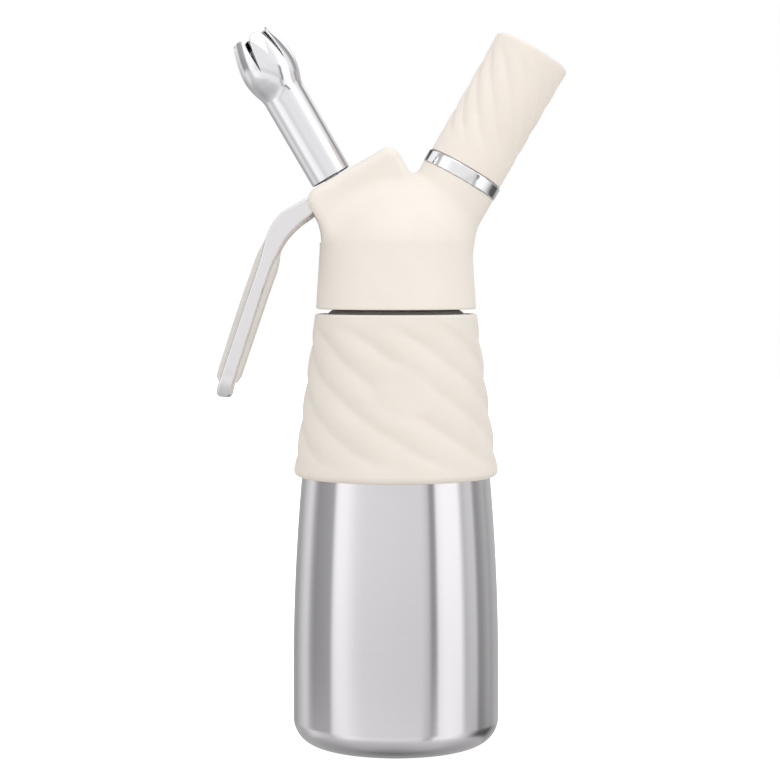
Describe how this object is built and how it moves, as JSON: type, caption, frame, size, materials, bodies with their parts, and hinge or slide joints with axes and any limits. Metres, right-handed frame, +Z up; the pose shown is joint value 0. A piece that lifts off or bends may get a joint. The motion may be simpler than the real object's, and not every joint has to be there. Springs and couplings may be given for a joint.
{
  "type": "whipped cream dispenser",
  "caption": "Pressure bottle with a cream head: squeeze lever, tulip decorating nozzle and gas charger holder on two arms in a V, soft fluted sleeve round its shoulder.",
  "frame": {"origin": "centre of the bottle's flat base", "axes": "+Z up the bottle's axis, -Y the front, +X towards the charger holder, -X towards the lever and nozzle"},
  "size_m": [0.1356, 0.0802, 0.278],
  "materials": {
    "brushed_steel": "brushed round the bottle",
    "soft_cream": "soft matte",
    "cream_coating": "matte coating on cast aluminium",
    "lever_metal": "satin",
    "chrome_ring": "polished",
    "nozzle_metal": "polished",
    "steel_part": "turned",
    "spring_steel": "drawn wire",
    "cup_metal": "turned",
    "silicone_clear": "matte silicone",
    "seal_rubber": "matte"
  },
  "bodies": {
    "bottle": {"bottle_shell": "brushed_steel", "bottle_sleeve": "soft_cream"},
    "head": {"head_body": "cream_coating", "head_gasket": "silicone_clear", "bush_seal": "seal_rubber", "valve_bush": "steel_part", "stem_seal": "seal_rubber", "valve_spring": "spring_steel", "lever_pin": "steel_part", "charge_nipple": "steel_part", "piercing_pin": "steel_part", "charger_seal": "seal_rubber", "check_valve": "seal_rubber", "check_valve_retainer": "steel_part", "collar_ring": "chrome_ring"},
    "lever": {"lever": "lever_metal", "lever_grip_outer": "soft_cream", "lever_grip_inner": "soft_cream"},
    "stem": {"valve_stem": "steel_part", "poppet_seal": "seal_rubber", "stem_collar": "steel_part", "nozzle_adaptor": "steel_part"},
    "nozzle": {"decorator_nozzle": "nozzle_metal", "nozzle_gasket": "seal_rubber"},
    "charger_holder": {"charger_holder_cup": "cup_metal", "charger_holder_grip": "soft_cream"}
  },
  "joints": [
    {"name": "head_off", "type": "slide", "parent": "bottle", "child": "head", "axis": [0, 0, 1], "range_m": [0, 0.08]},
    {"name": "lever_squeeze", "type": "hinge", "parent": "head", "child": "lever", "pos_m": [-0.01128, 0, 0.22159], "axis": [0, -1, 0], "range_deg": [0, 14], "stiffness_Nm_per_rad": 0.5, "springref_deg": -13.46},
    {"name": "valve_stroke", "type": "slide", "parent": "head", "child": "stem", "axis": [0.5, 0, -0.866], "range_m": [0, 0.0032], "deforming": ["valve_spring"]},
    {"name": "nozzle_off", "type": "slide", "parent": "stem", "child": "nozzle", "axis": [-0.5, 0, 0.866], "range_m": [0, 0.02]},
    {"name": "charger_holder_off", "type": "slide", "parent": "head", "child": "charger_holder", "axis": [0.5, 0, 0.866], "range_m": [0, 0.09]}
  ],
  "couplings": [
    {"joint": "valve_stroke", "follows": "lever_squeeze", "m_per_rad": 0.01275}
  ]
}
